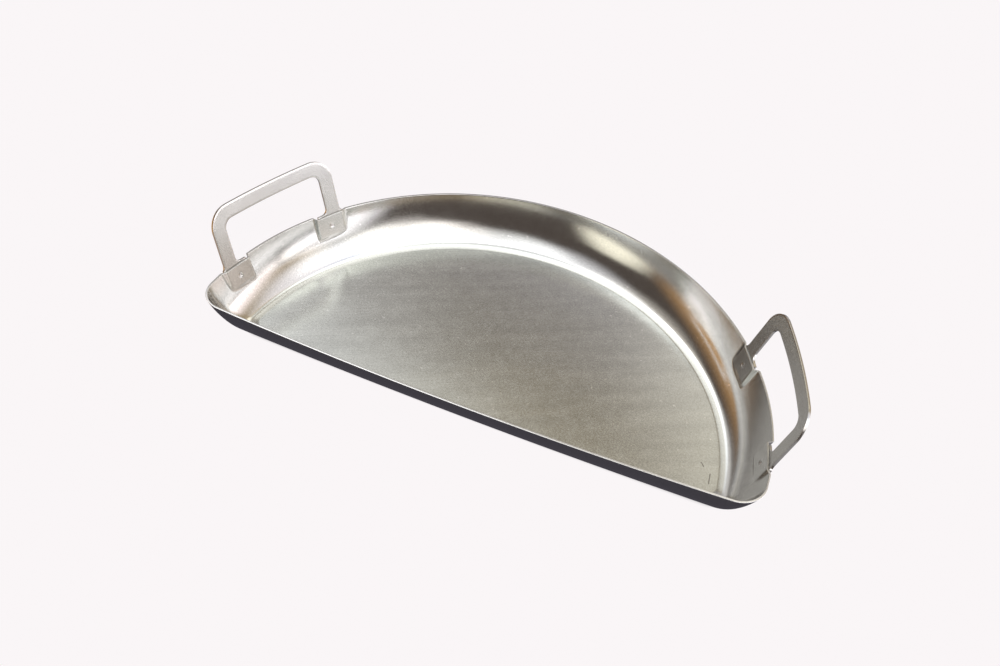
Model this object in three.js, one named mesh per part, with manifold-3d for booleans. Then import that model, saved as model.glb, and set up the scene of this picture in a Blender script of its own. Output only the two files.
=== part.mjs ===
// Half-moon pan: a D-shaped body pressed from one sheet of steel, with a loop handle of flat
// steel strap near each end of its curved wall. Each handle's two feet lie in shallow pockets
// pressed into the outside of the wall, and one spot weld holds each foot.
//
// Millimetres, +Z up. The origin is on the ground under the middle of the pan: X runs along
// the straight front wall, and Y runs from the front wall towards the back of the curve.

import * as THREE from 'three';
import { mergeVertices } from 'three/addons/utils/BufferGeometryUtils.js';
import Module from 'manifold-3d';

const wasm = await Module();
wasm.setup();

// Body
const RIM_RADIUS = 230;
const RIM_HEIGHT = 42.3;
const SHEET = 1.6;
const ARC_CENTRE_BEHIND_FRONT = 19.5;
const FRONT_BOW = 7.8;

// The wall leans outwards, more and more from the rim down to its foot
const RIM_LEAN = THREE.MathUtils.degToRad(17);
const MIDDLE_LEAN = THREE.MathUtils.degToRad(27);
const FOOT_LEAN = THREE.MathUtils.degToRad(48.8);
const MIDDLE_HEIGHT = 20;
// How far the front wall comes in, as a share of what the curved wall does
const FRONT_END_REACH = 0.93;
const FRONT_MIDDLE_REACH = 1.13;
const CORNER_RADIUS_AT_RIM = 22;
const CORNER_RADIUS_AT_FLOOR = 14;

// The shallow slope between the wall and the flat floor
const STEP_WIDTH = 6.6;
const STEP_DROP = 1.2;

// Handles
const STRAP_THICKNESS = 2;
const STRAP_WIDTH = 12.6;
const HANDLE_ANGLE = THREE.MathUtils.degToRad(20.3);
const HANDLE_LEAN = THREE.MathUtils.degToRad(16);
const HANDLE_HEIGHT = 50.7;
const HANDLE_HALF_WIDTH = 60.9;
const HANDLE_BEND_RADIUS = 384;
const HANDLE_FACE_RADIUS = 224.8;
const HANDLE_CORNER_RADIUS = 18.8;
const HANDLE_INNER_CORNER_RADIUS = 8;
const FOOT_DEPTH = 17;
const FOOT_OUTER_OVERHANG = 2;
const FOOT_INNER_OVERHANG = 9.5;
const FOOT_CORNER_RADIUS = 4;
const FOOT_SHOULDER_RADIUS = 5;
const FOOT_OUTER_SHOULDER_DROP = 1;

// Pockets in the wall: angles from the handle's middle, and heights of the lower fade
const GAP = 0.3;
const POCKET_START = THREE.MathUtils.degToRad(8.7);
const POCKET_END = THREE.MathUtils.degToRad(16.9);
const POCKET_RAMP = THREE.MathUtils.degToRad(0.9);
const POCKET_TOP_OF_FADE = 25.5;
const POCKET_BOTTOM = 21.5;

// Spot welds: fused metal from inside the sheet out to the strap's face, and the round print
// that the welding tip leaves on the inside of the wall
const WELD_RADIUS = 2.5;
const WELD_BELOW_RIM = 9.5;
const WELD_INTO_SHEET = 0.5;
const WELD_PRINT = 0.25;
const WELD_SIDES = 16;

// Mesh steps
const FRONT_STEPS = 12;
const CORNER_STEPS = 6;
const WALL_STEPS = 4;
const UPPER_HEIGHT = 34;
const GRIP_STEPS = 4;
const FOOT_ARC = [0, Math.PI / 4, Math.PI / 2];
const ARC_STEP = THREE.MathUtils.degToRad(4.6);

const BODY_DEPTH = FRONT_BOW + ARC_CENTRE_BEHIND_FRONT + RIM_RADIUS;
const FRONT_ENDS_Y = FRONT_BOW - BODY_DEPTH / 2;
const ARC_CENTRE_Y = FRONT_ENDS_Y + ARC_CENTRE_BEHIND_FRONT;
const UPPER_RADIUS = (RIM_HEIGHT - MIDDLE_HEIGHT) / (Math.sin(MIDDLE_LEAN) - Math.sin(RIM_LEAN));
const LOWER_RADIUS = (MIDDLE_HEIGHT - STEP_DROP) / (Math.sin(FOOT_LEAN) - Math.sin(MIDDLE_LEAN));

const satinSteel = (name, color, roughness) => new THREE.MeshStandardMaterial({
  name,
  color,
  roughness,
  metalness: 1,
});

// How far the curved wall has come in from the rim at height z: a wide arc above and a closer
// one below. The face lies offset millimetres inside the outer face: 0 outside, SHEET inside.
function wallInset(z, offset) {
  const onArc = (topZ, topLean, topInset, radius) => {
    const sine = (topZ + radius * Math.sin(topLean) - z) / (radius - offset);
    const centre = topInset + radius * Math.cos(topLean);
    return centre - (radius - offset) * Math.sqrt(1 - sine * sine);
  };
  if (z >= MIDDLE_HEIGHT + offset * Math.sin(MIDDLE_LEAN)) {
    return onArc(RIM_HEIGHT, RIM_LEAN, 0, UPPER_RADIUS);
  }
  const middleInset = UPPER_RADIUS * (Math.cos(RIM_LEAN) - Math.cos(MIDDLE_LEAN));
  return onArc(MIDDLE_HEIGHT, MIDDLE_LEAN, middleInset, LOWER_RADIUS);
}

// The same for the front wall; the sheet keeps its thickness.
function frontInset(z, reach, offset) {
  return wallInset(z, offset) + (reach - 1) * wallInset(z, 0);
}

// The D-shaped outline of one face at one height: a large arc, a slightly bowed front, and
// two rounded corners. extraInset moves the whole outline further in, over the step.
function outlineAt(z, offset, extraInset = 0) {
  const wallZ = Math.max(z, STEP_DROP + offset);
  const arcRadius = RIM_RADIUS - wallInset(wallZ, offset) - extraInset;
  const endsY = FRONT_ENDS_Y + frontInset(wallZ, FRONT_END_REACH, offset) + extraInset;
  const middleY = FRONT_ENDS_Y - FRONT_BOW
    + frontInset(wallZ, FRONT_MIDDLE_REACH, offset) + extraInset;
  const bow = endsY - middleY;
  const frontRadius = (RIM_RADIUS * RIM_RADIUS + bow * bow) / (2 * bow);
  const fall = THREE.MathUtils.clamp((RIM_HEIGHT - wallZ) / (RIM_HEIGHT - STEP_DROP), 0, 1);
  const cornerRadius = THREE.MathUtils.lerp(CORNER_RADIUS_AT_RIM, CORNER_RADIUS_AT_FLOOR, fall)
    - offset - extraInset / 2;
  return { z, offset, arcRadius, frontRadius, frontCentreY: middleY + frontRadius, cornerRadius };
}

// The centre of the right-hand corner's round, which touches both large arcs from inside.
function cornerCentre({ arcRadius, frontRadius, frontCentreY, cornerRadius }) {
  const toArc = arcRadius - cornerRadius;
  const toFront = frontRadius - cornerRadius;
  const between = frontCentreY - ARC_CENTRE_Y;
  const y = (toArc * toArc - toFront * toFront + between * between) / (2 * between);
  return new THREE.Vector2(Math.sqrt(toArc * toArc - y * y), ARC_CENTRE_Y + y);
}

// Distance of a handle's inner face from the arc's centre, at an angle from the handle's middle.
function handleFaceRadius(angle, z) {
  const middle = HANDLE_FACE_RADIUS + (z - RIM_HEIGHT) * Math.tan(HANDLE_LEAN);
  const straightOut = Math.cos(angle);
  let radius = middle;
  for (let pass = 0; pass < 6; pass += 1) {
    const across = radius * Math.sin(angle);
    const bend = HANDLE_BEND_RADIUS - Math.sqrt(HANDLE_BEND_RADIUS ** 2 - across ** 2);
    radius = (middle - bend / Math.cos(HANDLE_LEAN)) / straightOut;
  }
  return radius;
}

// How deep the pocket is at a place on the wall; both faces of the sheet move in together.
function pocketDepth(angle, z) {
  const fromRight = angle <= Math.PI / 2 ? angle : Math.PI - angle;
  const fromHandle = Math.abs(fromRight - HANDLE_ANGLE);
  if (fromHandle <= POCKET_START || fromHandle >= POCKET_END) {
    return 0;
  }
  const rampIn = THREE.MathUtils.smoothstep(fromHandle, POCKET_START, POCKET_START + POCKET_RAMP);
  const rampOut = THREE.MathUtils.smoothstep(fromHandle, POCKET_END - POCKET_RAMP, POCKET_END);
  const fade = THREE.MathUtils.smoothstep(z, POCKET_BOTTOM, POCKET_TOP_OF_FADE);
  const wallRadius = RIM_RADIUS - wallInset(z, 0);
  const faceRadius = handleFaceRadius(fromRight - HANDLE_ANGLE, z) - GAP / Math.cos(HANDLE_LEAN);
  return Math.max(0, wallRadius - faceRadius) * rampIn * (1 - rampOut) * fade;
}

// Angles around the curved wall: close together over each pocket, even steps elsewhere.
function wallAngles() {
  const quarter = [];
  for (const side of [-1, 1]) {
    const near = [0, 0.5, 1].map((part) => POCKET_START + POCKET_RAMP * part);
    const far = [1, 0.5, 0].map((part) => POCKET_END - POCKET_RAMP * part);
    const floor = [0.25, 0.5, 0.75].map((part) => THREE.MathUtils.lerp(near[2], far[0], part));
    quarter.push(...[...near, ...floor, ...far].map((turn) => HANDLE_ANGLE + side * turn));
  }
  quarter.sort((a, b) => a - b);
  const knots = [...quarter, ...quarter.map((angle) => Math.PI - angle).reverse()];
  const angles = [knots[0]];
  for (let i = 1; i < knots.length; i += 1) {
    const span = knots[i] - knots[i - 1];
    const steps = Math.max(1, Math.ceil(span / ARC_STEP));
    for (let step = 1; step <= steps; step += 1) {
      angles.push(knots[i - 1] + (span * step) / steps);
    }
  }
  return angles;
}

// One closed loop of points around the body, anticlockwise seen from above.
function loopAt(outline) {
  const { z, arcRadius, frontRadius, frontCentreY, cornerRadius } = outline;
  const centre = cornerCentre(outline);
  const arcEnd = Math.atan2(centre.y - ARC_CENTRE_Y, centre.x);
  const frontEnd = Math.atan2(centre.x, frontCentreY - centre.y);
  const points = [];
  for (let i = 0; i < FRONT_STEPS; i += 1) {
    const turn = THREE.MathUtils.lerp(-frontEnd, frontEnd, i / FRONT_STEPS);
    points.push([frontRadius * Math.sin(turn), frontCentreY - frontRadius * Math.cos(turn)]);
  }
  const right = [];
  for (let i = 0; i < CORNER_STEPS; i += 1) {
    const turn = THREE.MathUtils.lerp(frontEnd - Math.PI / 2, arcEnd, i / CORNER_STEPS);
    right.push([
      centre.x + cornerRadius * Math.cos(turn),
      centre.y + cornerRadius * Math.sin(turn),
    ]);
  }
  right.push([arcRadius * Math.cos(arcEnd), ARC_CENTRE_Y + arcRadius * Math.sin(arcEnd)]);
  points.push(...right);
  const angles = wallAngles();
  const first = angles[0];
  const squeeze = Math.max(0, arcEnd + POCKET_RAMP - first);
  for (const angle of angles) {
    const towardsMiddle = Math.abs(angle - Math.PI / 2) / (Math.PI / 2 - first);
    const moved = angle + Math.sign(Math.PI / 2 - angle) * squeeze * towardsMiddle;
    const radius = arcRadius - pocketDepth(moved, z);
    points.push([radius * Math.cos(moved), ARC_CENTRE_Y + radius * Math.sin(moved)]);
  }
  points.push(...right.slice(1).reverse().map(([x, y]) => [-x, y]));
  return points.map(([x, y]) => new THREE.Vector3(x, y, z));
}

// Heights of the loops on one face, from the foot of the wall up to the rim.
function loopHeights(offset) {
  const bottom = STEP_DROP + offset;
  const middle = MIDDLE_HEIGHT + offset * Math.sin(MIDDLE_LEAN);
  const heights = [];
  for (let i = 0; i <= WALL_STEPS; i += 1) {
    heights.push(THREE.MathUtils.lerp(bottom, middle, i / WALL_STEPS));
  }
  const fadeMiddle = (POCKET_BOTTOM + POCKET_TOP_OF_FADE) / 2;
  heights.push(POCKET_BOTTOM, fadeMiddle, POCKET_TOP_OF_FADE, UPPER_HEIGHT, RIM_HEIGHT);
  return heights;
}

// All loops of one face, from the edge of the flat floor up to the rim.
function faceLoops(offset) {
  const floor = loopAt(outlineAt(offset, offset, STEP_WIDTH));
  const wall = loopHeights(offset).map((z) => loopAt(outlineAt(z, offset)));
  return [floor, ...wall];
}

// A closed body from a chain of loops with equal point counts, capped by a fan at each end.
function bodyFromLoops(loops) {
  const count = loops[0].length;
  const vertices = [];
  const triangles = [];
  for (const loop of loops) {
    vertices.push(...loop);
  }
  for (let row = 0; row + 1 < loops.length; row += 1) {
    for (let i = 0; i < count; i += 1) {
      const next = (i + 1) % count;
      const a = row * count + i;
      const b = row * count + next;
      triangles.push([a, b, b + count], [a, b + count, a + count]);
    }
  }
  const capCentre = (loop) => new THREE.Vector3(0, 0, loop[0].z);
  const start = vertices.push(capCentre(loops[0])) - 1;
  const end = vertices.push(capCentre(loops.at(-1))) - 1;
  const lastRow = (loops.length - 1) * count;
  for (let i = 0; i < count; i += 1) {
    const next = (i + 1) % count;
    triangles.push([start, next, i], [end, lastRow + i, lastRow + next]);
  }
  return indexedGeometry(vertices, triangles);
}

function indexedGeometry(vertices, triangles) {
  const geometry = new THREE.BufferGeometry();
  const positions = vertices.flatMap((point) => point.toArray());
  geometry.setAttribute('position', new THREE.Float32BufferAttribute(positions, 3));
  geometry.setIndex(triangles.flat());
  return geometry;
}

function solidFrom(geometry) {
  const bare = geometry.clone();
  bare.deleteAttribute('normal');
  bare.deleteAttribute('uv');
  const merged = mergeVertices(bare);
  return new wasm.Manifold(new wasm.Mesh({
    numProp: 3,
    vertProperties: new Float32Array(merged.attributes.position.array),
    triVerts: new Uint32Array(merged.index.array),
  }));
}

function cut(geometry, tools) {
  let solid = solidFrom(geometry);
  for (const tool of tools) {
    solid = solid.subtract(solidFrom(tool));
  }
  const mesh = solid.getMesh();
  const result = new THREE.BufferGeometry();
  result.setAttribute('position', new THREE.BufferAttribute(mesh.vertProperties, 3));
  result.setIndex(new THREE.BufferAttribute(mesh.triVerts, 1));
  result.computeVertexNormals();
  return result;
}

// A place on the right-hand handle. along runs round the bend from its middle towards the back,
// up runs along the slope from the rim, and out counts outwards from the strap's inner face.
function handlePoint(along, up, out) {
  const radial = new THREE.Vector3(Math.cos(HANDLE_ANGLE), Math.sin(HANDLE_ANGLE), 0);
  const across = new THREE.Vector3(-radial.y, radial.x, 0);
  const vertical = new THREE.Vector3(0, 0, 1);
  const slope = vertical.clone().multiplyScalar(Math.cos(HANDLE_LEAN))
    .addScaledVector(radial, Math.sin(HANDLE_LEAN));
  const normal = radial.clone().multiplyScalar(Math.cos(HANDLE_LEAN))
    .addScaledVector(vertical, -Math.sin(HANDLE_LEAN));
  const turn = along / HANDLE_BEND_RADIUS;
  const bendRadius = HANDLE_BEND_RADIUS + out;
  return new THREE.Vector3(0, ARC_CENTRE_Y, RIM_HEIGHT)
    .addScaledVector(radial, HANDLE_FACE_RADIUS)
    .addScaledVector(across, bendRadius * Math.sin(turn))
    .addScaledVector(normal, bendRadius * Math.cos(turn) - HANDLE_BEND_RADIUS)
    .addScaledVector(slope, up);
}

// The handle's outline as pairs of points, [outer edge, inner edge], from the lower end of one
// foot to the middle of the grip. Each point is [along, up].
function halfHandleOutline() {
  const outerEdge = HANDLE_HALF_WIDTH;
  const innerEdge = HANDLE_HALF_WIDTH - STRAP_WIDTH;
  const footOuter = outerEdge + FOOT_OUTER_OVERHANG;
  const footInner = innerEdge - FOOT_INNER_OVERHANG;
  const pairs = [];
  for (const turn of FOOT_ARC) {
    const narrower = FOOT_CORNER_RADIUS * (1 - Math.sin(turn));
    const up = -FOOT_DEPTH + FOOT_CORNER_RADIUS * (1 - Math.cos(turn));
    pairs.push([[footOuter - narrower, up], [footInner + narrower, up]]);
  }
  pairs.push([[footOuter, -FOOT_OUTER_OVERHANG - FOOT_OUTER_SHOULDER_DROP], [footInner, 0]]);
  const shoulderStart = innerEdge - FOOT_SHOULDER_RADIUS;
  for (const turn of FOOT_ARC) {
    const inner = shoulderStart + FOOT_SHOULDER_RADIUS * Math.sin(turn);
    const outer = footOuter - FOOT_OUTER_OVERHANG * Math.sin(turn);
    const innerUp = FOOT_SHOULDER_RADIUS * (1 - Math.cos(turn));
    pairs.push([[outer, innerUp - FOOT_OUTER_SHOULDER_DROP], [inner, innerUp]]);
  }
  for (let i = 0; i <= CORNER_STEPS; i += 1) {
    const turn = (Math.PI / 2) * (i / CORNER_STEPS);
    const onCorner = (along, up, radius) => [
      along - radius * (1 - Math.cos(turn)),
      up - radius * (1 - Math.sin(turn)),
    ];
    pairs.push([
      onCorner(outerEdge, HANDLE_HEIGHT, HANDLE_CORNER_RADIUS),
      onCorner(innerEdge, HANDLE_HEIGHT - STRAP_WIDTH, HANDLE_INNER_CORNER_RADIUS),
    ]);
  }
  const [[outerAlong, outerUp], [innerAlong, innerUp]] = pairs.at(-1);
  for (let i = 1; i <= GRIP_STEPS; i += 1) {
    const left = 1 - i / GRIP_STEPS;
    pairs.push([[outerAlong * left, outerUp], [innerAlong * left, innerUp]]);
  }
  return pairs;
}

// The strap as a closed band: a row of points across each face at every pair of the outline.
function handleGeometry() {
  const half = halfHandleOutline();
  const mirrored = half.slice(0, -1).reverse().map((pair) => pair.map(([x, up]) => [-x, up]));
  const pairs = [...half, ...mirrored];
  const across = 3;
  const vertices = [];
  for (const [outer, inner] of pairs) {
    for (const out of [0, STRAP_THICKNESS]) {
      for (let i = 0; i <= across; i += 1) {
        const part = out === 0 ? i / across : 1 - i / across;
        const along = THREE.MathUtils.lerp(outer[0], inner[0], part);
        const up = THREE.MathUtils.lerp(outer[1], inner[1], part);
        vertices.push(handlePoint(along, up, out));
      }
    }
  }
  const ring = 2 * (across + 1);
  const triangles = [];
  for (let row = 0; row + 1 < pairs.length; row += 1) {
    for (let i = 0; i < ring; i += 1) {
      const next = (i + 1) % ring;
      const a = row * ring + i;
      const b = row * ring + next;
      triangles.push([a, b, b + ring], [a, b + ring, a + ring]);
    }
  }
  const lastRow = (pairs.length - 1) * ring;
  for (let i = 0; i < across; i += 1) {
    const opposite = ring - 1 - i;
    triangles.push([i, opposite - 1, i + 1], [i, opposite, opposite - 1]);
    triangles.push([lastRow + i, lastRow + i + 1, lastRow + opposite - 1]);
    triangles.push([lastRow + i, lastRow + opposite - 1, lastRow + opposite]);
  }
  return indexedGeometry(vertices, triangles);
}

// A cylinder on the axis of one foot's spot weld. from and to count outwards from the strap's
// inner face.
function weldCylinder(side, radius, from, to) {
  const overhangShift = (FOOT_OUTER_OVERHANG - FOOT_INNER_OVERHANG) / 2;
  const middle = HANDLE_HALF_WIDTH - STRAP_WIDTH / 2 + overhangShift;
  const start = handlePoint(side * middle, -WELD_BELOW_RIM, from);
  const end = handlePoint(side * middle, -WELD_BELOW_RIM, to);
  const direction = end.clone().sub(start);
  const plug = new THREE.CylinderGeometry(radius, radius, direction.length(), WELD_SIDES);
  const turn = new THREE.Quaternion().setFromUnitVectors(
    new THREE.Vector3(0, 1, 0),
    direction.normalize(),
  );
  plug.applyQuaternion(turn);
  plug.translate(...start.add(end).multiplyScalar(0.5).toArray());
  return plug;
}

// The same piece on the left of the pan.
function mirrored(geometry) {
  const copy = geometry.clone();
  copy.scale(-1, 1, 1);
  const index = copy.index.array;
  for (let i = 0; i < index.length; i += 3) {
    [index[i + 1], index[i + 2]] = [index[i + 2], index[i + 1]];
  }
  copy.computeVertexNormals();
  return copy;
}

function addPiece(group, name, geometry, material) {
  const mesh = new THREE.Mesh(geometry, material);
  mesh.name = name;
  group.add(mesh);
}

const halfMoonPan = new THREE.Group();

const feet = [
  { name: 'front', side: -1 },
  { name: 'back', side: 1 },
];
const weldStart = -GAP - WELD_INTO_SHEET;
const sockets = feet.map(({ side }) => (
  weldCylinder(side, WELD_RADIUS + GAP, weldStart - GAP, STRAP_THICKNESS + SHEET)
));
const prints = feet.map(({ side }) => (
  weldCylinder(side, WELD_RADIUS, -GAP - 2 * SHEET, -GAP - SHEET + WELD_PRINT)
));
const wallCuts = [...sockets, ...prints];

const outside = faceLoops(0);
const inside = faceLoops(SHEET);
const shell = bodyFromLoops([...outside, ...inside.reverse()]);
addPiece(
  halfMoonPan,
  'pan_body',
  cut(shell, [...wallCuts, ...wallCuts.map(mirrored)]),
  satinSteel('body_steel', 0xa9a8a2, 0.34),
);

const handle = cut(handleGeometry(), sockets);
addPiece(halfMoonPan, 'handle_right', handle, satinSteel('handle_steel', 0xb2afaa, 0.3));
addPiece(halfMoonPan, 'handle_left', mirrored(handle), satinSteel('handle_steel', 0xb2afaa, 0.3));

for (const { name, side } of feet) {
  const weld = weldCylinder(side, WELD_RADIUS, weldStart, STRAP_THICKNESS);
  const steel = satinSteel('weld_steel', 0x8f8d88, 0.5);
  addPiece(halfMoonPan, `weld_right_${name}`, weld, steel);
  addPiece(halfMoonPan, `weld_left_${name}`, mirrored(weld), steel);
}

export default halfMoonPan;
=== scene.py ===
import math

import bpy
import numpy as np
from mathutils import Matrix, Vector


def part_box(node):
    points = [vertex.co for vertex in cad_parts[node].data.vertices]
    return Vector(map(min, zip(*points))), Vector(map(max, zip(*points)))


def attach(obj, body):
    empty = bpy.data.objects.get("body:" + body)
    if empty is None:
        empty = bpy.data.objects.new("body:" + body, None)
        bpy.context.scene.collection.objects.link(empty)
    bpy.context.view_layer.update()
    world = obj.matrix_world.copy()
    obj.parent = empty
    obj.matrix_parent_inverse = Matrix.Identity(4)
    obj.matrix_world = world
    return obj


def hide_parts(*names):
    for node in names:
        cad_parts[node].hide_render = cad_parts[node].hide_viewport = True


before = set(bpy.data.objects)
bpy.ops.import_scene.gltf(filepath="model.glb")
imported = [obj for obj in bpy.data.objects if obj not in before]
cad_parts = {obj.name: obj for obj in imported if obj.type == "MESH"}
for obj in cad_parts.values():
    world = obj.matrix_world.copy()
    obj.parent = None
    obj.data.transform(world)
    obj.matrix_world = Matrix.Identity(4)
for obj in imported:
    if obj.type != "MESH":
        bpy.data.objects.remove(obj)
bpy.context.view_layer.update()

# Lengths are in millimetres and angles in radians unless a comment says otherwise. The meshes
# are in metres.
MM = 0.001

# Body: the rim's size and place come from the CAD body
body_low, body_high = (np.array(corner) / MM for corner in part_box("pan_body"))
RIM_RADIUS = body_high[0]
RIM_HEIGHT = body_high[2]
ARC_CENTRE_Y = body_high[1] - RIM_RADIUS
FRONT_BOW = 7.8
FRONT_ENDS_Y = body_low[1] + FRONT_BOW
SHEET = 1.6
RIM_LEAN = math.radians(17)
MIDDLE_LEAN = math.radians(27)
FOOT_LEAN = math.radians(48.8)
MIDDLE_HEIGHT = 20
FRONT_END_REACH = 0.93
FRONT_MIDDLE_REACH = 1.13
CORNER_RADIUS_AT_RIM = 22
CORNER_RADIUS_AT_FLOOR = 14
STEP_WIDTH = 6.6
STEP_DROP = 1.2
STEP_ROUND = 1.5
EDGE_ROUND = 0.3
FOOT_ROUND = 2.6
UPPER_RADIUS = (RIM_HEIGHT - MIDDLE_HEIGHT) / (math.sin(MIDDLE_LEAN) - math.sin(RIM_LEAN))
LOWER_RADIUS = (MIDDLE_HEIGHT - STEP_DROP) / (math.sin(FOOT_LEAN) - math.sin(MIDDLE_LEAN))

# Loops of the body's mesh: how far apart they are up the wall, how many are in each other part,
# and how far in towards the floor's middle each of the floor's rings is
WALL_STEP = 0.7
STEP_ROUND_LOOPS = 7
SLOPE_LOOPS = 3
SLOPE_FIRST_LOOP = 0.25
SLOPE_LAST_LOOP_SHORT = 0.05
FOOT_ROUND_LOOPS = 9
EDGE_ROUND_LOOPS = 5
FLOOR_RINGS = [0.03, 0.12, 0.25, 0.38, 0.5, 0.62, 0.72, 0.81, 0.88, 0.94, 0.98]
FLOOR_MIDDLE_Y = -10.0

# Points round each loop: the front, a corner, the spacing over a pocket and elsewhere, and the
# least angle between a corner and the wall's first point
FRONT_STEPS = 60
CORNER_STEPS = 18
FINE_STEP = 0.6
COARSE_STEP = 3.6
CORNER_CLEARANCE = 0.012

# Handles
STRAP_THICKNESS = 2
STRAP_WIDTH = 12.6
HANDLE_ANGLE = math.radians(20.3)
HANDLE_LEAN = math.radians(16)
HANDLE_HEIGHT = 50.7
HANDLE_HALF_WIDTH = 60.9
HANDLE_BEND_RADIUS = 384
HANDLE_FACE_RADIUS = 224.8
HANDLE_CORNER_RADIUS = 18.8
HANDLE_INNER_CORNER_RADIUS = 8
FOOT_DEPTH = 17
FOOT_OUTER_OVERHANG = 2
FOOT_INNER_OVERHANG = 9.5
FOOT_CORNER_RADIUS = 4
FOOT_SHOULDER_RADIUS = 5
FOOT_OUTER_SHOULDER_DROP = 1
STRAP_EDGE_ROUND = 0.4
FACES_ACROSS_STRAP = 6

# Pockets: the angle either side of a handle's middle that holds both of its pockets, distances
# round the wall from that middle, and the height where a pocket starts to fade in
GAP = 0.1
POCKET_REACH = 0.4
POCKET_START = 35.2
POCKET_END = 67.6
POCKET_NEAR_RAMP = 2.6
POCKET_FAR_RAMP = 5.0
POCKET_BOTTOM = 20.5
POCKET_FADE = 5.0

# Welds: the dimple is flat out to one part of the radius and ends at another. The way round the
# wall to a weld is a little longer than the straight way across the strap.
WELD_RADIUS = 2.5
WELD_BELOW_RIM = 9.5
WELD_DIMPLE = 0.35
DIMPLE_FLAT = 0.35
DIMPLE_END = 1.05
DIMPLE_SCALE_ON_PLUG = 0.98
ROUND_THE_WALL = 1.004
PLUG_PROUD = 0.03
BUTTON_HEIGHT = 0.12
BUTTON_EDGE_DROP = 0.14
BUTTON_DIP = 0.1

# Finish: each pair is where a look starts and where it is complete. WALL_LOOK and the painted
# highlight are heights, CUT_EDGE_DEPTH is below the rim, and FRONT_RIM_GLINT is behind the front
# corners. The painted highlight on the step's slope, and the rim's cut edge with a painted glint at
# the front and painted shade round the back, are there to match the photo's brightness.
BRUSH_TURN = math.radians(-30)
FLOOR_ROUGHNESS = 0.2
WALL_ROUGHNESS = 0.13
STRAP_ROUGHNESS = 0.215
WALL_LOOK = (2.2, 7.5)
PAINTED_HIGHLIGHT_FROM = (1.65, 2.2)
PAINTED_HIGHLIGHT_TO = (3.0, 4.6)
PAINTED_HIGHLIGHT_SHARE = 0.75
CUT_EDGE_DEPTH = (0.25, 0.05)
FRONT_RIM_GLINT = (4, 26)

# Two small nicks in the floor near its right end: start and end of each, worked out from where
# their ends are in the photo
NICKS = [((181.2, -64.2), (184.0, -67.6)), ((190.3, -72.4), (191.4, -81.5))]
NICK_SOFTNESS = (0.2, 0.7)

# Lights: azimuth from straight behind the pan towards its right, elevation, the radius that is
# fully bright and the width of the soft edge, all in degrees, and the colour. Nothing in the photo
# shows them as lamps. A separate program fitted them and DIM_ROOM to how bright the steel is in
# the photo, and the rows at (-48, 29) and (99, -16) were then changed by hand.
DIM_ROOM = (0.11, 0.09, 0.08)
LIGHTS = [
    (37, 76, 1, 20, (2.30, 2.41, 2.31)),
    (-163, 63, 1, 36, (1.14, 1.16, 1.23)),
    (119, 63, 1, 15, (1.41, 1.53, 1.43)),
    (-53, 63, 3, 21, (1.82, 1.96, 2.03)),
    (145, 57, 1, 17, (1.45, 1.31, 1.53)),
    (-18, 56, 1, 13, (0.25, 0.21, 0.11)),
    (-104, 55, 15, 16, (0.56, 0.54, 0.50)),
    (168, 51, 13, 15, (0.89, 0.91, 0.92)),
    (87, 44, 8, 24, (0.76, 0.82, 1.01)),
    (15, 42, 1, 17, (1.17, 1.14, 0.98)),
    (143, 34, 8, 12, (0.87, 0.83, 0.81)),
    (127, 33, 15, 9, (1.10, 1.06, 1.04)),
    (107, 32, 2, 26, (0.98, 0.99, 0.98)),
    (-48, 29, 1, 29, (0.50, 0.50, 0.50)),
    (-5, 29, 11, 8, (0.42, 0.43, 0.47)),
    (60, 23, 29, 12, (0.44, 0.35, 0.22)),
    (-150, -2, 2, 18, (1.81, 1.74, 1.45)),
    (55, -7, 7, 28, (1.98, 1.84, 2.02)),
    (99, -16, 17, 18, (2.70, 2.66, 2.80)),
    (-98, -20, 5, 43, (0.76, 0.40, 0.11)),
    (-1, -21, 13, 40, (0.63, 0.62, 0.61)),
]

# The ground beyond the pan and the ceiling, between two heights of a direction of length 1.
# They are chosen for the other views, and nothing in the photo shows them.
GROUND = (0.46, 0.45, 0.46, 1)
GROUND_BETWEEN = (-0.80, -0.34)
CEILING = (0.50, 0.51, 0.50, 1)
CEILING_BETWEEN = (0.92, 0.985)
CEILING_SHARE = 0.7

# Behind the pan and below it the surroundings are a dark table, full and faded out in degrees
DARK_TABLE = (0.068, 0.063, 0.078, 1)
TABLE_TOWARDS = (-0.18, 0.56, -0.81)
TABLE_FULL = 40
TABLE_END = 62

# Stage: pale paper all round, with a painted contact shadow close under the pan. Its radius is in
# metres.
PAPER = (0.955, 0.92, 0.93, 1)
STAGE_RADIUS = 6.0
STAGE_SIDES = 64
STAGE_TOP = math.radians(86)
FLOOR_BELOW_PAN = 0.02
CONTACT_SHADOW_REACH = 3
CONTACT_SHADOW = 0.6

# Camera: it looks at a place on the floor from the front, a little to the right and rolled.
# A separate program fitted these values to the pan's outlines in the photo.
CAMERA_AZIMUTH = math.radians(18.303)
CAMERA_ELEVATION = math.radians(45.037)
CAMERA_ROLL = math.radians(6.309)
CAMERA_DISTANCE = 842.1
CAMERA_AIM_X = -11.9
CAMERA_AIM_BEHIND_FRONT = 116.1
CAMERA_LENS = 35.507
CAMERA_SENSOR = 36


def lerp(a, b, part):
    return a + (b - a) * part


def smooth(value, low, high):
    part = np.clip((value - low) / (high - low), 0, 1)
    return part * part * (3 - 2 * part)


def wall_inset(z, offset):
    """How far a face of the curved wall has come in from the rim at height z."""
    if z >= MIDDLE_HEIGHT + offset * math.sin(MIDDLE_LEAN):
        top, lean, inset, radius = RIM_HEIGHT, RIM_LEAN, 0, UPPER_RADIUS
    else:
        inset = UPPER_RADIUS * (math.cos(RIM_LEAN) - math.cos(MIDDLE_LEAN))
        top, lean, radius = MIDDLE_HEIGHT, MIDDLE_LEAN, LOWER_RADIUS
    sine = (top + radius * math.sin(lean) - z) / (radius - offset)
    return inset + radius * math.cos(lean) - (radius - offset) * math.sqrt(1 - sine * sine)


def front_inset(z, reach, offset):
    return wall_inset(z, offset) + (reach - 1) * wall_inset(z, 0)


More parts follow.
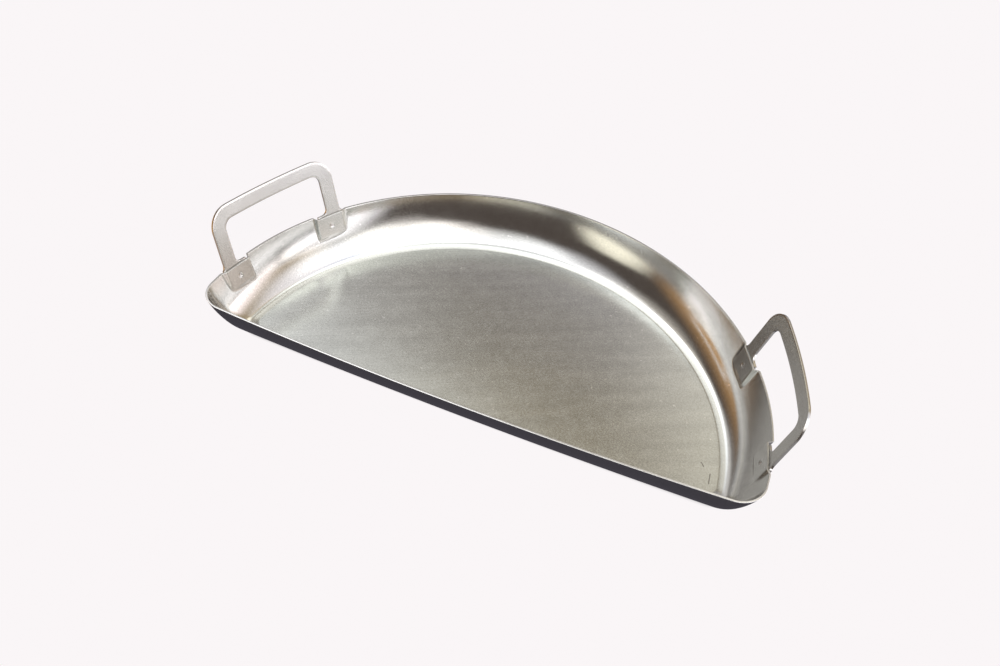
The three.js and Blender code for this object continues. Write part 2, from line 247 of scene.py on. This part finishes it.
def handle_face_radius(angle, z):
    """Distance of a handle's inner face from the arc's centre, at an angle from its middle."""
    middle = HANDLE_FACE_RADIUS + (z - RIM_HEIGHT) * math.tan(HANDLE_LEAN)
    radius = np.full_like(angle, middle)
    for _ in range(6):
        across = np.abs(radius * np.sin(angle))
        across = np.minimum(across, HANDLE_BEND_RADIUS * 0.9)
        bend = HANDLE_BEND_RADIUS - np.sqrt(HANDLE_BEND_RADIUS**2 - across**2)
        radius = (middle - bend / math.cos(HANDLE_LEAN)) / np.cos(angle)
    return radius


def pocket_depth(angle, z):
    """How deep the pockets are at places on the curved wall."""
    from_right = np.where(angle <= math.pi / 2, angle, math.pi - angle)
    turn = np.clip(from_right - HANDLE_ANGLE, -POCKET_REACH, POCKET_REACH)
    along = np.abs(turn) * RIM_RADIUS
    near = smooth(along, POCKET_START, POCKET_START + POCKET_NEAR_RAMP)
    far = 1 - smooth(along, POCKET_END - POCKET_FAR_RAMP, POCKET_END)
    fade = smooth(z, POCKET_BOTTOM, POCKET_BOTTOM + POCKET_FADE)
    wall = RIM_RADIUS - wall_inset(z, 0)
    face = handle_face_radius(turn, z) - GAP / math.cos(HANDLE_LEAN)
    inside = (along > POCKET_START) & (along < POCKET_END)
    return np.where(inside, np.maximum(0, wall - face) * near * far * fade, 0)


def weld_middle():
    shift = (FOOT_OUTER_OVERHANG - FOOT_INNER_OVERHANG) / 2
    return HANDLE_HALF_WIDTH - STRAP_WIDTH / 2 + shift


def weld_dimple(angle, z):
    """Depth of the welding tip's print on the inside of the pockets."""
    from_right = np.where(angle <= math.pi / 2, angle, math.pi - angle)
    along = np.abs(from_right - HANDLE_ANGLE) * RIM_RADIUS
    across = along - weld_middle() * ROUND_THE_WALL
    up = (z - RIM_HEIGHT) / math.cos(HANDLE_LEAN) + WELD_BELOW_RIM
    distance = np.sqrt(across**2 + up**2) / WELD_RADIUS
    return WELD_DIMPLE * (1 - smooth(distance, DIMPLE_FLAT, DIMPLE_END))


def wall_angles():
    """Angles round the curved wall, close together over each pocket."""
    fine = FINE_STEP / RIM_RADIUS
    coarse = COARSE_STEP / RIM_RADIUS
    start = (POCKET_START - 1) / RIM_RADIUS
    end = (POCKET_END + 1) / RIM_RADIUS
    spans = [
        (HANDLE_ANGLE - end, HANDLE_ANGLE - start, fine),
        (HANDLE_ANGLE - start, HANDLE_ANGLE + start, coarse),
        (HANDLE_ANGLE + start, HANDLE_ANGLE + end, fine),
        (HANDLE_ANGLE + end, math.pi / 2, coarse),
    ]
    quarter = [spans[0][0]]
    for low, high, step in spans:
        count = max(1, math.ceil((high - low) / step))
        quarter.extend(np.linspace(low, high, count + 1)[1:])
    quarter = np.array(quarter)
    return np.concatenate([quarter, math.pi - quarter[-2::-1]])


WALL_ANGLES = wall_angles()


def loop_at(z, offset, extra_inset=0.0, inside=False):
    """The body's outline at one height, as points anticlockwise from the front left corner."""
    wall_z = max(z, STEP_DROP + offset)
    arc_radius = RIM_RADIUS - wall_inset(wall_z, offset) - extra_inset
    ends_y = FRONT_ENDS_Y + front_inset(wall_z, FRONT_END_REACH, offset) + extra_inset
    middle_y = FRONT_ENDS_Y - FRONT_BOW + front_inset(wall_z, FRONT_MIDDLE_REACH, offset) + extra_inset
    bow = ends_y - middle_y
    front_radius = (RIM_RADIUS**2 + bow * bow) / (2 * bow)
    front_y = middle_y + front_radius
    fall = min(max((RIM_HEIGHT - wall_z) / (RIM_HEIGHT - STEP_DROP), 0), 1)
    corner = lerp(CORNER_RADIUS_AT_RIM, CORNER_RADIUS_AT_FLOOR, fall) - offset - extra_inset / 2
    to_arc = arc_radius - corner
    to_front = front_radius - corner
    between = front_y - ARC_CENTRE_Y
    up = (to_arc**2 - to_front**2 + between**2) / (2 * between)
    corner_x = math.sqrt(to_arc**2 - up**2)
    corner_y = ARC_CENTRE_Y + up
    arc_end = math.atan2(up, corner_x)
    front_end = math.atan2(corner_x, front_y - corner_y)
    turn = np.linspace(-front_end, front_end, FRONT_STEPS, endpoint=False)
    front = np.stack([front_radius * np.sin(turn), front_y - front_radius * np.cos(turn)], 1)
    turn = np.linspace(front_end - math.pi / 2, arc_end, CORNER_STEPS, endpoint=False)
    right = np.stack([corner_x + corner * np.cos(turn), corner_y + corner * np.sin(turn)], 1)
    end = [[arc_radius * math.cos(arc_end), ARC_CENTRE_Y + arc_radius * math.sin(arc_end)]]
    right = np.concatenate([right, end])
    first = WALL_ANGLES[0]
    squeeze = max(0.0, arc_end + CORNER_CLEARANCE - first)
    to_middle = np.abs(WALL_ANGLES - math.pi / 2) / (math.pi / 2 - first)
    angle = WALL_ANGLES + np.sign(math.pi / 2 - WALL_ANGLES) * squeeze * to_middle
    radius = arc_radius - pocket_depth(angle, z)
    if inside:
        radius = radius + weld_dimple(angle, z)
    arc = np.stack([radius * np.cos(angle), ARC_CENTRE_Y + radius * np.sin(angle)], 1)
    left = right[:0:-1] * [-1, 1]
    flat = np.concatenate([front, right, arc, left])
    return np.column_stack([flat, np.full(len(flat), z)])


def shrunk_loops(loop, centre, parts):
    """Copies of a loop drawn in towards a centre, for the flat floor."""
    return [centre + (loop - centre) * part for part in parts]


def face_loops(offset, inside):
    """Loops of one face, from its floor's edge out to the rim, without the rim's round."""
    floor_z = offset
    foot_z = offset + STEP_DROP
    foot_inset = wall_inset(foot_z, offset)
    loops = []
    step_slope = math.atan2(STEP_DROP, STEP_WIDTH)
    for part in np.linspace(1, 0, STEP_ROUND_LOOPS):
        run = STEP_WIDTH + STEP_ROUND * part
        drop = STEP_ROUND * 0.5 * step_slope * (1 - part) ** 2
        loops.append(loop_at(floor_z + drop, offset, run - STEP_ROUND / 2, inside))
    round_start = 1 - FOOT_ROUND / STEP_WIDTH
    for part in np.linspace(SLOPE_FIRST_LOOP, round_start - SLOPE_LAST_LOOP_SHORT, SLOPE_LOOPS):
        z = floor_z + STEP_DROP * part
        loops.append(loop_at(z, offset, STEP_WIDTH * (1 - part), inside))
    wall_z = foot_z + FOOT_ROUND * math.cos(FOOT_LEAN)
    on_step = np.array([FOOT_ROUND, floor_z + STEP_DROP * round_start])
    crease = np.array([0, foot_z])
    on_wall = np.array([wall_inset(wall_z, offset) - foot_inset, wall_z])
    for part in np.linspace(0, 1, FOOT_ROUND_LOOPS):
        inset, z = lerp(lerp(on_step, crease, part), lerp(crease, on_wall, part), part)
        extra = inset + foot_inset - wall_inset(max(z, foot_z), offset)
        loops.append(loop_at(z, offset, extra, inside))
    count = math.ceil((RIM_HEIGHT - EDGE_ROUND - wall_z) / WALL_STEP)
    for z in np.linspace(wall_z, RIM_HEIGHT - EDGE_ROUND, count + 1)[1:]:
        loops.append(loop_at(z, offset, 0, inside))
    return loops


def closed_mesh(name, loops, fan_start, fan_end):
    """A closed mesh from a chain of loops, with a fan of triangles at each end."""
    count = len(loops[0])
    verts = np.concatenate(loops + [[fan_start], [fan_end]]) * MM
    i = np.arange(count)
    nxt = (i + 1) % count
    faces = []
    for row in range(len(loops) - 1):
        a = row * count
        b = a + count
        faces.extend(np.stack([a + i, a + nxt, b + nxt, b + i], 1).tolist())
    first = len(loops) * count
    last = (len(loops) - 1) * count
    faces.extend([first, int(b), int(a)] for a, b in zip(i, nxt))
    faces.extend([first + 1, int(last + a), int(last + b)] for a, b in zip(i, nxt))
    mesh = bpy.data.meshes.new(name)
    mesh.from_pydata(verts.tolist(), [], faces)
    mesh.update()
    mesh.shade_smooth()
    piece = bpy.data.objects.new(name, mesh)
    bpy.context.scene.collection.objects.link(piece)
    return piece


def build_body():
    """The pressed sheet: underside, outside, rim, inside and floor as one closed mesh."""
    middle = np.array([0.0, FLOOR_MIDDLE_Y, 0.0])
    outside = face_loops(0.0, False)
    inside = face_loops(SHEET, True)
    under = shrunk_loops(outside[0], middle, FLOOR_RINGS)
    floor_middle = middle + [0, 0, SHEET]
    floor = shrunk_loops(inside[0], floor_middle, FLOOR_RINGS)
    rim = []
    for turn in np.linspace(0, math.pi / 2, EDGE_ROUND_LOOPS)[1:]:
        across = EDGE_ROUND * (1 - math.cos(turn))
        rim.append((across, RIM_HEIGHT - EDGE_ROUND * (1 - math.sin(turn))))
    rim += [(SHEET - across, z) for across, z in rim[::-1]]
    rim_loops = [loop_at(z, across) for across, z in rim]
    loops = under + outside + rim_loops + inside[::-1] + floor[::-1]
    return closed_mesh("pan_sheet", loops, middle, floor_middle)


def handle_point(along, up, out):
    """A place on the right-hand handle: round its bend, up its slope, and out from its face."""
    radial = np.array([math.cos(HANDLE_ANGLE), math.sin(HANDLE_ANGLE), 0.0])
    across = np.array([-radial[1], radial[0], 0.0])
    vertical = np.array([0.0, 0.0, 1.0])
    slope = vertical * math.cos(HANDLE_LEAN) + radial * math.sin(HANDLE_LEAN)
    normal = radial * math.cos(HANDLE_LEAN) - vertical * math.sin(HANDLE_LEAN)
    turn = along / HANDLE_BEND_RADIUS
    bend = HANDLE_BEND_RADIUS + out
    start = np.array([0.0, ARC_CENTRE_Y, RIM_HEIGHT])
    return (start + radial * HANDLE_FACE_RADIUS + across * bend * math.sin(turn)
            + normal * (bend * math.cos(turn) - HANDLE_BEND_RADIUS) + slope * up)


def half_handle_outline():
    """Pairs of [outer edge, inner edge] points from a foot's lower end to the grip's middle."""
    outer_edge = HANDLE_HALF_WIDTH
    inner_edge = HANDLE_HALF_WIDTH - STRAP_WIDTH
    foot_outer = outer_edge + FOOT_OUTER_OVERHANG
    foot_inner = inner_edge - FOOT_INNER_OVERHANG
    quarter = np.linspace(0, math.pi / 2, 9)
    pairs = []
    for turn in quarter:
        narrower = FOOT_CORNER_RADIUS * (1 - math.sin(turn))
        up = -FOOT_DEPTH + FOOT_CORNER_RADIUS * (1 - math.cos(turn))
        pairs.append(((foot_outer - narrower, up), (foot_inner + narrower, up)))
    outer_up = -FOOT_OUTER_OVERHANG - FOOT_OUTER_SHOULDER_DROP
    pairs.append(((foot_outer, outer_up), (foot_inner, 0)))
    shoulder = inner_edge - FOOT_SHOULDER_RADIUS
    for turn in quarter:
        inner = shoulder + FOOT_SHOULDER_RADIUS * math.sin(turn)
        outer = foot_outer - FOOT_OUTER_OVERHANG * math.sin(turn)
        up = FOOT_SHOULDER_RADIUS * (1 - math.cos(turn))
        pairs.append(((outer, up - FOOT_OUTER_SHOULDER_DROP), (inner, up)))
    leg_end = HANDLE_HEIGHT - HANDLE_CORNER_RADIUS
    for up in np.linspace(FOOT_SHOULDER_RADIUS, leg_end, 7)[1:-1]:
        pairs.append(((outer_edge, up), (inner_edge, up)))

    def on_corner(along, up, radius, turn):
        return (along - radius * (1 - math.cos(turn)), up - radius * (1 - math.sin(turn)))

    for turn in np.linspace(0, math.pi / 2, 17):
        outer = on_corner(outer_edge, HANDLE_HEIGHT, HANDLE_CORNER_RADIUS, turn)
        under = HANDLE_HEIGHT - STRAP_WIDTH
        inner = on_corner(inner_edge, under, HANDLE_INNER_CORNER_RADIUS, turn)
        pairs.append((outer, inner))
    (outer_along, outer_up), (inner_along, inner_up) = pairs[-1]
    for left in np.linspace(1, 0, 13)[1:]:
        pairs.append(((outer_along * left, outer_up), (inner_along * left, inner_up)))
    return pairs


def lay_grain_along(mesh, verts, ring, rows):
    """UVs in metres: along the strap's length, and across its width."""
    centres = verts.reshape(rows, ring, 3).mean(1)
    steps = np.linalg.norm(np.diff(centres, axis=0), axis=1)
    along = np.concatenate([[0], np.cumsum(steps)])
    layer = mesh.uv_layers.new(name="strap")
    half = ring // 2
    for loop in mesh.loops:
        row, column = divmod(loop.vertex_index, ring)
        across = column if column < half else ring - 1 - column
        layer.data[loop.index].uv = (along[row], across * STRAP_WIDTH * MM / (half - 1))


def build_handle(name, side):
    """One strap loop with its two feet, on the right (side 1) or the left (side -1)."""
    half = half_handle_outline()
    other = [tuple((-x, up) for x, up in pair) for pair in half[-2::-1]]
    pairs = half + other
    across = FACES_ACROSS_STRAP
    verts = []
    for outer, inner in pairs:
        for out in (0, STRAP_THICKNESS):
            for i in range(across + 1):
                part = i / across if out == 0 else 1 - i / across
                along = lerp(outer[0], inner[0], part)
                up = lerp(outer[1], inner[1], part)
                verts.append(handle_point(along, up, out) * [side, 1, 1] * MM)
    ring = 2 * (across + 1)
    faces = []
    for row in range(len(pairs) - 1):
        for i in range(ring):
            a = row * ring + i
            b = row * ring + (i + 1) % ring
            faces.append([a, b, b + ring, a + ring])
    last = (len(pairs) - 1) * ring
    for i in range(across):
        opposite = ring - 1 - i
        faces.append([i, opposite, opposite - 1, i + 1])
        faces.append([last + i, last + i + 1, last + opposite - 1, last + opposite])
    if side < 0:
        faces = [face[::-1] for face in faces]
    mesh = bpy.data.meshes.new(name)
    mesh.from_pydata([tuple(v) for v in verts], [], faces)
    mesh.update()
    lay_grain_along(mesh, np.array(verts), ring, len(pairs))
    piece = bpy.data.objects.new(name, mesh)
    bpy.context.scene.collection.objects.link(piece)
    bevel = piece.modifiers.new("edge", "BEVEL")
    bevel.width = STRAP_EDGE_ROUND * MM
    bevel.segments = 3
    bevel.limit_method = "ANGLE"
    bevel.angle_limit = math.radians(45)
    bevel.harden_normals = False
    mesh.shade_smooth()
    return piece


def build_weld(name, side, foot):
    """A plug with a dimpled end inside the pan and a low button outside the strap."""
    rings = 10
    sides = 40
    middle = foot * weld_middle()
    start = handle_point(middle, -WELD_BELOW_RIM, 0)
    normal = handle_point(middle, -WELD_BELOW_RIM, 1) - start
    normal /= np.linalg.norm(normal)
    up = handle_point(middle, -WELD_BELOW_RIM + 1, 0) - start
    up /= np.linalg.norm(up)
    side_way = np.cross(up, normal)
    inner_face = -GAP - SHEET - PLUG_PROUD
    profile = []
    for part in np.linspace(0, 1, rings):
        dip = WELD_DIMPLE * (1 - smooth(part * DIMPLE_SCALE_ON_PLUG, DIMPLE_FLAT, DIMPLE_END))
        profile.append((WELD_RADIUS * part, inner_face + dip))
    outer_face = STRAP_THICKNESS + BUTTON_HEIGHT
    for part in np.linspace(1, 0, rings):
        edge = BUTTON_EDGE_DROP * smooth(part, 0.8, 1.0)
        dip = BUTTON_DIP * (1 - smooth(part, 0.3, 0.75))
        profile.append((WELD_RADIUS * part, outer_face - edge - dip))
    verts = []
    for radius, out in profile:
        for turn in np.linspace(0, 2 * math.pi, sides, endpoint=False):
            around = side_way * math.cos(turn) + up * math.sin(turn)
            point = start + normal * out + around * max(radius, 0.02)
            verts.append(point * [side, 1, 1] * MM)
    faces = []
    for row in range(len(profile) - 1):
        for i in range(sides):
            a = row * sides + i
            b = row * sides + (i + 1) % sides
            faces.append([a, b, b + sides, a + sides])
    faces.append(list(range(sides))[::-1])
    last = (len(profile) - 1) * sides
    faces.append(list(range(last, last + sides)))
    if side < 0:
        faces = [face[::-1] for face in faces]
    mesh = bpy.data.meshes.new(name)
    mesh.from_pydata([tuple(v) for v in verts], [], faces)
    mesh.update()
    mesh.shade_smooth()
    piece = bpy.data.objects.new(name, mesh)
    bpy.context.scene.collection.objects.link(piece)
    return piece


def make(tree, kind, inputs=None, **settings):
    """A new shader node; inputs are plain values or other nodes' outputs."""
    made = tree.nodes.new("ShaderNode" + kind)
    for name, value in settings.items():
        setattr(made, name, value)
    for key, value in (inputs or {}).items():
        if isinstance(value, bpy.types.NodeSocket):
            tree.links.new(value, made.inputs[key])
        else:
            made.inputs[key].default_value = value
    return made


def noise(tree, place, scale, detail=2.0, stretch=None, turn=0.0):
    """A noise pattern, about 0.5 on average, that may be stretched and turned about Z."""
    if stretch:
        place = make(tree, "Mapping", {"Vector": place, "Rotation": (0, 0, turn)}).outputs[0]
        place = make(tree, "VectorMath", {0: place, 1: stretch}, operation="MULTIPLY").outputs[0]
    return make(tree, "TexNoise", {"Vector": place, "Scale": scale, "Detail": detail}).outputs[0]


def calc(tree, operation, first, second=0.0, third=0.0):
    return make(tree, "Math", {0: first, 1: second, 2: third}, operation=operation).outputs[0]


def remap(tree, value, low, high, to_low, to_high, kind="SMOOTHSTEP"):
    """Takes a value from one range to another, and holds it at the ends."""
    inputs = {"Value": value, "From Min": low, "From Max": high, "To Min": to_low, "To Max": to_high}
    return make(tree, "MapRange", inputs, interpolation_type=kind).outputs[0]


def vary(tree, value, pattern, amount):
    """A value raised and lowered by a pattern, by half the amount each way."""
    centred = calc(tree, "SUBTRACT", pattern, 0.5)
    return calc(tree, "MULTIPLY_ADD", centred, amount, value)


def dot(tree, first, second):
    inputs = {0: first, 1: second}
    return make(tree, "VectorMath", inputs, operation="DOT_PRODUCT").outputs["Value"]


def blend(tree, part, first, second, kind="MIX"):
    """Mixes two colours."""
    made = make(tree, "Mix", {0: part, 6: first, 7: second}, data_type="RGBA", blend_type=kind)
    return made.outputs[2]


def shaded(tree, colour, shade):
    """A colour made darker or lighter by a factor."""
    grey = make(tree, "CombineColor", {0: shade, 1: shade, 2: shade}).outputs[0]
    return blend(tree, 1.0, colour, grey, "MULTIPLY")


def bump(tree, height, distance, under=None):
    """A relief of the given depth in metres, on top of another relief."""
    inputs = {"Height": height, "Distance": distance, "Strength": 1.0}
    if under is not None:
        inputs["Normal"] = under
    return make(tree, "Bump", inputs).outputs[0]


def near_line(tree, place, start, end):
    """1 on a short line between two points of the floor, 0 a little way from it."""
    start = np.array([*start, SHEET]) * MM
    along = np.array([*end, SHEET]) * MM - start
    from_start = make(tree, "VectorMath", {0: place, 1: tuple(start)}, operation="SUBTRACT").outputs[0]
    part = dot(tree, from_start, tuple(along / (along @ along)))
    part = remap(tree, part, 0.0, 1.0, 0.0, 1.0, "LINEAR")
    nearest = make(tree, "VectorMath", {0: tuple(along), "Scale": part}, operation="SCALE").outputs[0]
    inputs = {0: from_start, 1: nearest}
    away = make(tree, "VectorMath", inputs, operation="DISTANCE").outputs["Value"]
    near, far = NICK_SOFTNESS
    return remap(tree, away, near * MM, far * MM, 1.0, 0.0)


def steel_material(name):
    """A bare metal material; the returned shader still needs its colour, roughness and relief."""
    material = bpy.data.materials.new(name)
    material.use_nodes = True
    tree = material.node_tree
    shader = tree.nodes["Principled BSDF"]
    shader.inputs["Metallic"].default_value = 1.0
    return material, tree, shader


def body_steel():
    """Rolled sheet: smooth satin walls, a duller and more worn floor with faint brush marks."""
    material, tree, shader = steel_material("satin_sheet")
    place = make(tree, "TexCoord").outputs["Object"]
    _, depth, height = make(tree, "SeparateXYZ", {0: place}).outputs

    def between(value, ends, low=0.0, high=1.0):
        return remap(tree, value, ends[0] * MM, ends[1] * MM, low, high)

    def floor_or_wall(on_floor, on_wall):
        return remap(tree, wall, 0, 1, on_floor, on_wall)

    wall = between(height, WALL_LOOK)
    rim = between(height, [RIM_HEIGHT - below for below in CUT_EDGE_DEPTH])
    # Share of the painted glint on the rim's cut edge: 1 at the front, 0 further back where painted
    # shade takes over.
    front = between(depth, [FRONT_ENDS_Y + behind for behind in FRONT_RIM_GLINT], 1.0, 0.0)
    clouds = noise(tree, place, 11.0, 3.0)
    mottle = noise(tree, place, 95.0, 4.0)
    grain = noise(tree, place, 780.0, 1.0)
    brush = noise(tree, place, 1.0, 3.0, (14.0, 560.0, 14.0), BRUSH_TURN)
    streaks = noise(tree, place, 1.0, 3.0, (9.0, 75.0, 9.0), BRUSH_TURN)

    colour = blend(tree, clouds, (0.63, 0.625, 0.60, 1), (0.69, 0.685, 0.66, 1))
    shade = vary(tree, floor_or_wall(0.98, 0.92), grain, floor_or_wall(0.36, 0.34))
    shade = vary(tree, shade, mottle, 0.06)
    shade = vary(tree, shade, streaks, floor_or_wall(0.34, 0.0))
    colour = shaded(tree, colour, shade)
    specks = remap(tree, noise(tree, place, 420.0, 0.0), 0.80, 0.84, 0.0, 0.7)
    colour = blend(tree, specks, colour, (0.9, 0.88, 0.86, 1))
    # Painted highlight: a lighter band on the step's slope.
    painted_highlight = between(height, PAINTED_HIGHLIGHT_FROM, 0.0, PAINTED_HIGHLIGHT_SHARE)
    painted_highlight = calc(tree, "SUBTRACT", painted_highlight, between(height, PAINTED_HIGHLIGHT_TO, 0.0, PAINTED_HIGHLIGHT_SHARE))
    colour = blend(tree, painted_highlight, colour, (0.90, 0.895, 0.875, 1))
    # Painted light on the rim's cut edge: painted shade round the back, a painted glint at the front.
    rim_glint_and_shade = blend(tree, front, (0.40, 0.38, 0.36, 1), (0.93, 0.90, 0.90, 1))
    colour = blend(tree, calc(tree, "MULTIPLY", rim, 0.75), colour, rim_glint_and_shade)
    for start, end in NICKS:
        nick = calc(tree, "MULTIPLY", near_line(tree, place, start, end), 0.7)
        colour = blend(tree, nick, colour, (0.16, 0.14, 0.13, 1))
    tree.links.new(colour, shader.inputs["Base Color"])

    rough = vary(tree, floor_or_wall(FLOOR_ROUGHNESS, WALL_ROUGHNESS), mottle, 0.05)
    rough = vary(tree, rough, grain, 0.07)
    rough = calc(tree, "MULTIPLY_ADD", rim, 0.12, rough)
    tree.links.new(rough, shader.inputs["Roughness"])

    relief = bump(tree, noise(tree, place, 8.0, 1.0), 0.5 * MM)
    relief = bump(tree, brush, 0.012 * MM, relief)
    relief = bump(tree, grain, 0.01 * MM, relief)
    tree.links.new(relief, shader.inputs["Normal"])
    return material


def strap_steel():
    """Cold-rolled strap with a fine grain, a little scuffed along its length."""
    material, tree, shader = steel_material("strap_steel")
    place = make(tree, "TexCoord").outputs["Object"]
    strip = make(tree, "UVMap", uv_map="strap").outputs[0]
    clouds = noise(tree, place, 30.0, 3.0)
    grain = noise(tree, place, 1300.0, 1.0)
    scuffs = noise(tree, strip, 1.0, 1.0, (45.0, 700.0, 1.0))

    colour = blend(tree, clouds, (0.55, 0.54, 0.52, 1), (0.63, 0.62, 0.60, 1))
    shade = vary(tree, 0.995, grain, 0.06)
    shade = vary(tree, shade, scuffs, 0.07)
    tree.links.new(shaded(tree, colour, shade), shader.inputs["Base Color"])

    rough = vary(tree, STRAP_ROUGHNESS, scuffs, 0.04)
    rough = vary(tree, rough, grain, 0.02)
    tree.links.new(rough, shader.inputs["Roughness"])

    relief = bump(tree, clouds, 0.03 * MM)
    relief = bump(tree, scuffs, 0.0006 * MM, relief)
    relief = bump(tree, grain, 0.0008 * MM, relief)
    tree.links.new(relief, shader.inputs["Normal"])
    return material


def weld_steel():
    """Fused metal: duller and darker, with a pitted face."""
    material, tree, shader = steel_material("weld_metal")
    place = make(tree, "TexCoord").outputs["Object"]
    pits = noise(tree, place, 900.0, 3.0)
    tint = noise(tree, place, 260.0, 1.0)
    colour = blend(tree, tint, (0.42, 0.39, 0.36, 1), (0.60, 0.59, 0.60, 1))
    tree.links.new(colour, shader.inputs["Base Color"])
    tree.links.new(calc(tree, "MULTIPLY_ADD", pits, 0.3, 0.22), shader.inputs["Roughness"])
    tree.links.new(bump(tree, pits, 0.12 * MM), shader.inputs["Normal"])
    return material


def place_piece(piece, material, node):
    """Gives a piece its material, puts it on the root body and hides the CAD node that it stands for.
    """
    piece.data.materials.append(material)
    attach(piece, "root")
    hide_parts(node)


def add_pan():
    sheet_metal = body_steel()
    strap_metal = strap_steel()
    weld_metal = weld_steel()
    place_piece(build_body(), sheet_metal, "pan_body")
    for side_name, side in (("right", 1), ("left", -1)):
        handle = build_handle(f"strap_{side_name}", side)
        place_piece(handle, strap_metal, f"handle_{side_name}")
        for foot_name, foot in (("front", -1), ("back", 1)):
            weld = build_weld(f"spot_{side_name}_{foot_name}", side, foot)
            place_piece(weld, weld_metal, f"weld_{side_name}_{foot_name}")


def add_camera():
    """The camera looks down on the pan from the front, a little to its right and rolled."""
    aim = np.array([CAMERA_AIM_X, FRONT_ENDS_Y + CAMERA_AIM_BEHIND_FRONT, 0.0])
    back = np.array([
        math.sin(CAMERA_AZIMUTH) * math.cos(CAMERA_ELEVATION),
        -math.cos(CAMERA_AZIMUTH) * math.cos(CAMERA_ELEVATION),
        math.sin(CAMERA_ELEVATION),
    ])
    right = np.cross(-back, [0, 0, 1])
    right /= np.linalg.norm(right)
    up = np.cross(right, -back)
    rolled_right = math.cos(CAMERA_ROLL) * right + math.sin(CAMERA_ROLL) * up
    rolled_up = -math.sin(CAMERA_ROLL) * right + math.cos(CAMERA_ROLL) * up
    data = bpy.data.cameras.new("camera")
    data.sensor_width = CAMERA_SENSOR
    data.lens = CAMERA_LENS
    data.clip_start = 0.01
    camera = bpy.data.objects.new("camera", data)
    bpy.context.scene.collection.objects.link(camera)
    axes = Matrix([rolled_right, rolled_up, back]).transposed()
    position = Vector((aim + back * CAMERA_DISTANCE) * MM)
    camera.matrix_world = Matrix.Translation(position) @ axes.to_4x4()
    bpy.context.scene.camera = camera


def pale_paint(name, with_shadow):
    """Evenly bright paper, which may carry a painted contact shadow right under the pan's edges."""
    material = bpy.data.materials.new(name)
    material.use_nodes = True
    tree = material.node_tree
    tree.nodes.clear()
    glow = make(tree, "Emission", {"Color": PAPER, "Strength": 1.0})
    if with_shadow:
        inputs = {"Distance": CONTACT_SHADOW_REACH * MM}
        near = make(tree, "AmbientOcclusion", inputs, samples=8).outputs["AO"]
        strength = remap(tree, near, 0.0, 1.0, CONTACT_SHADOW, 1.0)
        tree.links.new(strength, glow.inputs["Strength"])
    out = make(tree, "OutputMaterial")
    tree.links.new(glow.outputs[0], out.inputs[0])
    return material


def add_stage():
    """A pale floor and a pale dome over it, which only the camera sees."""
    turns = np.linspace(0, 2 * math.pi, STAGE_SIDES, endpoint=False)
    drop = -FLOOR_BELOW_PAN * MM
    floor_points = [(STAGE_RADIUS * math.cos(t), STAGE_RADIUS * math.sin(t), drop) for t in turns]
    floor_faces = [tuple(range(STAGE_SIDES))]
    dome_points = []
    dome_faces = []
    rows = np.linspace(0, STAGE_TOP, 12)
    for row, rise in enumerate(rows):
        flat = STAGE_RADIUS * math.cos(rise)
        z = drop + STAGE_RADIUS * math.sin(rise)
        for i, turn in enumerate(turns):
            dome_points.append((flat * math.cos(turn), flat * math.sin(turn), z))
            if row + 1 < len(rows):
                a = row * STAGE_SIDES + i
                b = row * STAGE_SIDES + (i + 1) % STAGE_SIDES
                dome_faces.append((a, a + STAGE_SIDES, b + STAGE_SIDES, b))
    top = range(len(dome_points) - STAGE_SIDES, len(dome_points))
    dome_faces.append(tuple(top)[::-1])
    for name, points, faces, with_shadow in (
        ("floor", floor_points, floor_faces, True),
        ("backdrop", dome_points, dome_faces, False),
    ):
        mesh = bpy.data.meshes.new(name)
        mesh.from_pydata(points, [], faces)
        piece = bpy.data.objects.new(name, mesh)
        bpy.context.scene.collection.objects.link(piece)
        mesh.materials.append(pale_paint(name + "_paper", with_shadow))
        piece.visible_glossy = False
        piece.visible_diffuse = False
        piece.visible_shadow = False


def glow_towards(tree, towards, axis, full, end):
    """1 in directions within one angle of an axis, in degrees, fading to 0 at another."""
    outer = math.cos(math.radians(end))
    inner = math.cos(math.radians(full))
    return remap(tree, dot(tree, towards, axis), outer, inner, 0.0, 1.0)


def add_lights():
    """Soft light from all round: each light is a round glow in the surroundings with a soft edge."""
    world = bpy.data.worlds.new("studio")
    bpy.context.scene.world = world
    world.use_nodes = True
    tree = world.node_tree
    towards = make(tree, "TexCoord").outputs["Generated"]
    total = DIM_ROOM
    for azimuth, elevation, size, soft, colour in LIGHTS:
        az, el = math.radians(azimuth), math.radians(elevation)
        axis = (math.sin(az) * math.cos(el), math.cos(az) * math.cos(el), math.sin(el))
        part = glow_towards(tree, towards, axis, size, size + soft)
        inputs = {0: part, 1: colour, 2: total}
        total = make(tree, "VectorMath", inputs, operation="MULTIPLY_ADD").outputs[0]
    height = make(tree, "SeparateXYZ", {0: towards}).outputs[2]
    ground = remap(tree, height, *GROUND_BETWEEN, 1.0, 0.0)
    total = blend(tree, ground, total, GROUND)
    ceiling = remap(tree, height, *CEILING_BETWEEN, 0.0, CEILING_SHARE)
    total = blend(tree, ceiling, total, CEILING)
    table = glow_towards(tree, towards, TABLE_TOWARDS, TABLE_FULL, TABLE_END)
    total = blend(tree, table, total, DARK_TABLE)
    tree.links.new(total, tree.nodes["Background"].inputs["Color"])


add_pan()
add_camera()
add_stage()
add_lights()

bpy.context.scene.view_settings.view_transform = "Standard"
